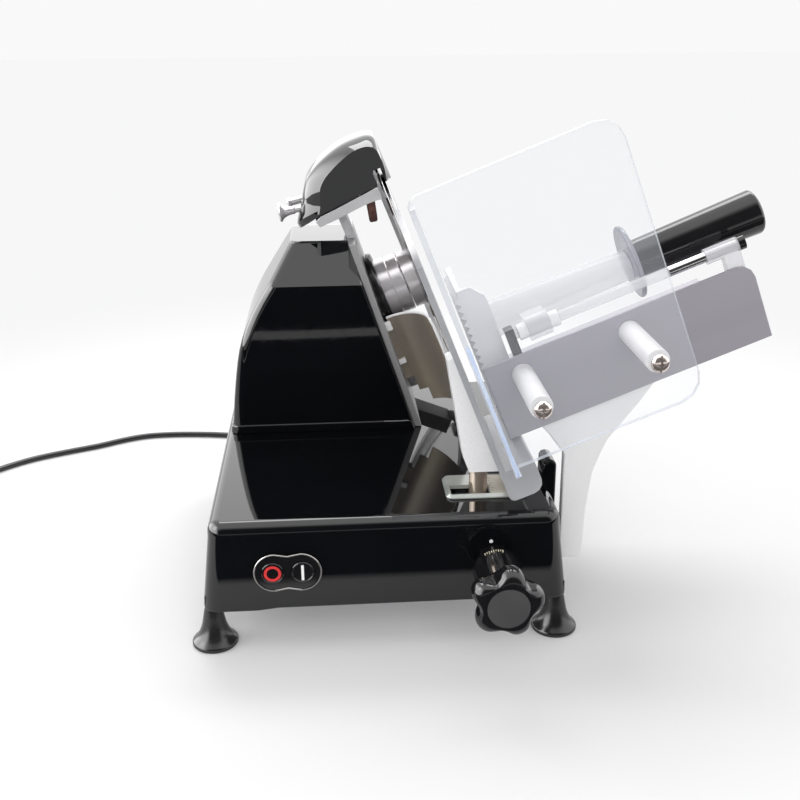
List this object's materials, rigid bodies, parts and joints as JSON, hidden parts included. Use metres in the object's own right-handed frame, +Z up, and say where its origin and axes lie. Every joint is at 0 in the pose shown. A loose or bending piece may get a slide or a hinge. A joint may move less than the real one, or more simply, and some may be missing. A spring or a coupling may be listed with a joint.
{
  "type": "gravity feed food slicer",
  "caption": "Electric gravity-feed food slicer with a tilted round blade, sliding product table, clear hand guard, pusher, thickness knob and built-in sharpener.",
  "frame": {"origin": "middle of the machine's footprint box on the surface that its feet stand on, without the mains lead", "axes": "+X to the operator's right along the blade's axle seen from above, +Y away from the operator along the carriage's stroke, +Z up"},
  "size_m": [0.946, 0.5823, 0.4428],
  "materials": {
    "black_enamel": "high gloss",
    "cast_aluminium": "satin",
    "polished_steel": "polished",
    "satin_steel": "brushed",
    "grey_metal": "matt",
    "white_enamel": "satin",
    "white_plastic": "satin",
    "gloss_black_plastic": "gloss",
    "black_plastic": "satin",
    "black_rubber": "matt",
    "clear_acrylic": "clear",
    "smoked_acrylic": "tinted",
    "brass": "polished",
    "abrasive_stone": "rough"
  },
  "bodies": {
    "machine": {"base_casting": "black_enamel", "motor_housing": "black_enamel", "sharpener_hood": "black_enamel", "bottom_cover": "grey_metal", "foot_front_left": "black_rubber", "foot_front_right": "black_rubber", "foot_rear_left": "black_rubber", "foot_rear_right": "black_rubber", "switch_pad": "black_plastic", "switch_body": "black_plastic", "blade_frame": "cast_aluminium", "hub_housing": "polished_steel", "hub_seal": "black_rubber", "shaft_bearing": "satin_steel", "drive_belt": "black_rubber", "motor": "grey_metal", "ring_guard": "cast_aluminium", "blade_cover": "polished_steel", "slice_deflector": "satin_steel", "sharpener_bracket": "cast_aluminium", "gauge_guide_bar": "polished_steel", "slot_tray": "polished_steel", "carriage_rail": "polished_steel", "strain_relief": "black_rubber", "power_cord": "black_rubber", "cord_coil": "black_rubber", "mains_plug": "black_plastic", "cord_tie": "black_plastic"},
    "blade_rotor": {"blade": "polished_steel", "blade_shaft": "satin_steel", "blade_pulley": "grey_metal"},
    "motor_rotor": {"motor_pulley": "satin_steel"},
    "grinder": {"grinding_plunger": "polished_steel"},
    "grinder_wheel": {"grinding_stone": "abrasive_stone"},
    "honer": {"honing_plunger": "polished_steel"},
    "honer_wheel": {"honing_stone": "abrasive_stone"},
    "gauge": {"gauge_plate": "cast_aluminium", "gauge_arm": "white_enamel", "gauge_post": "polished_steel", "gauge_slide": "cast_aluminium"},
    "knob": {"thickness_knob": "gloss_black_plastic", "knob_shaft": "satin_steel"},
    "stop": {"stop_button": "gloss_black_plastic"},
    "start": {"start_button": "gloss_black_plastic"},
    "carriage": {"carriage_table": "cast_aluminium", "carriage_arm": "white_enamel", "carriage_slide": "cast_aluminium", "hand_guard": "clear_acrylic", "guard_spacer_left": "white_plastic", "guard_spacer_right": "white_plastic", "guard_screw_left": "brass", "guard_screw_right": "brass", "pusher_rod": "polished_steel", "rod_stop": "black_plastic", "rod_bracket": "cast_aluminium"},
    "pusher_slider": {"pusher_bushing": "white_plastic"},
    "pusher": {"pusher_arm": "cast_aluminium", "pusher_plate": "cast_aluminium", "hand_disc": "smoked_acrylic", "pusher_grip": "gloss_black_plastic"}
  },
  "joints": [
    {"name": "blade_spin", "type": "hinge", "parent": "machine", "child": "blade_rotor", "pos_m": [-0.03427, 0.099, 0.26529], "axis": [0.9304, 0, 0.3665], "continuous": true},
    {"name": "motor_spin", "type": "hinge", "parent": "machine", "child": "motor_rotor", "pos_m": [-0.07557, 0.114, 0.16412], "axis": [0.9304, 0, 0.3665], "continuous": true},
    {"name": "grind_press", "type": "slide", "parent": "machine", "child": "grinder", "axis": [0.989, 0, 0.1478], "range_m": [0, 0.003], "stiffness_N_per_m": 800},
    {"name": "grind_spin", "type": "hinge", "parent": "grinder", "child": "grinder_wheel", "pos_m": [-0.16418, 0.086, 0.3345], "axis": [0.989, 0, 0.1478], "continuous": true},
    {"name": "hone_press", "type": "slide", "parent": "machine", "child": "honer", "axis": [0.9724, 0, 0.2334], "range_m": [0, 0.003], "stiffness_N_per_m": 800},
    {"name": "hone_spin", "type": "hinge", "parent": "honer", "child": "honer_wheel", "pos_m": [-0.15673, 0.1245, 0.33743], "axis": [0.9724, 0, 0.2334], "continuous": true},
    {"name": "gauge_move", "type": "slide", "parent": "machine", "child": "gauge", "axis": [-1, 0, 0], "range_m": [0, 0.015]},
    {"name": "thickness_turn", "type": "hinge", "parent": "machine", "child": "knob", "pos_m": [0.00707, -0.156, 0.082], "axis": [0, 1, 0], "range_deg": [0, 300]},
    {"name": "stop_press", "type": "slide", "parent": "machine", "child": "stop", "axis": [0, 1, 0], "range_m": [0, 0.0015], "stiffness_N_per_m": 1000},
    {"name": "start_press", "type": "slide", "parent": "machine", "child": "start", "axis": [0, 1, 0], "range_m": [0, 0.0015], "stiffness_N_per_m": 1000},
    {"name": "carriage_move", "type": "slide", "parent": "machine", "child": "carriage", "axis": [0, 1, 0], "range_m": [0, 0.19]},
    {"name": "pusher_slide", "type": "slide", "parent": "carriage", "child": "pusher_slider", "axis": [0.9304, 0, 0.3665], "range_m": [0, 0.128]},
    {"name": "pusher_swing", "type": "hinge", "parent": "pusher_slider", "child": "pusher", "pos_m": [0.02985, -0.094, 0.25938], "axis": [0.9304, 0, 0.3665], "range_deg": [0, 95]}
  ],
  "couplings": [
    {"joint": "motor_spin", "follows": "blade_spin", "ratio": 3.75},
    {"joint": "thickness_turn", "follows": "gauge_move", "rad_per_m": 349}
  ]
}
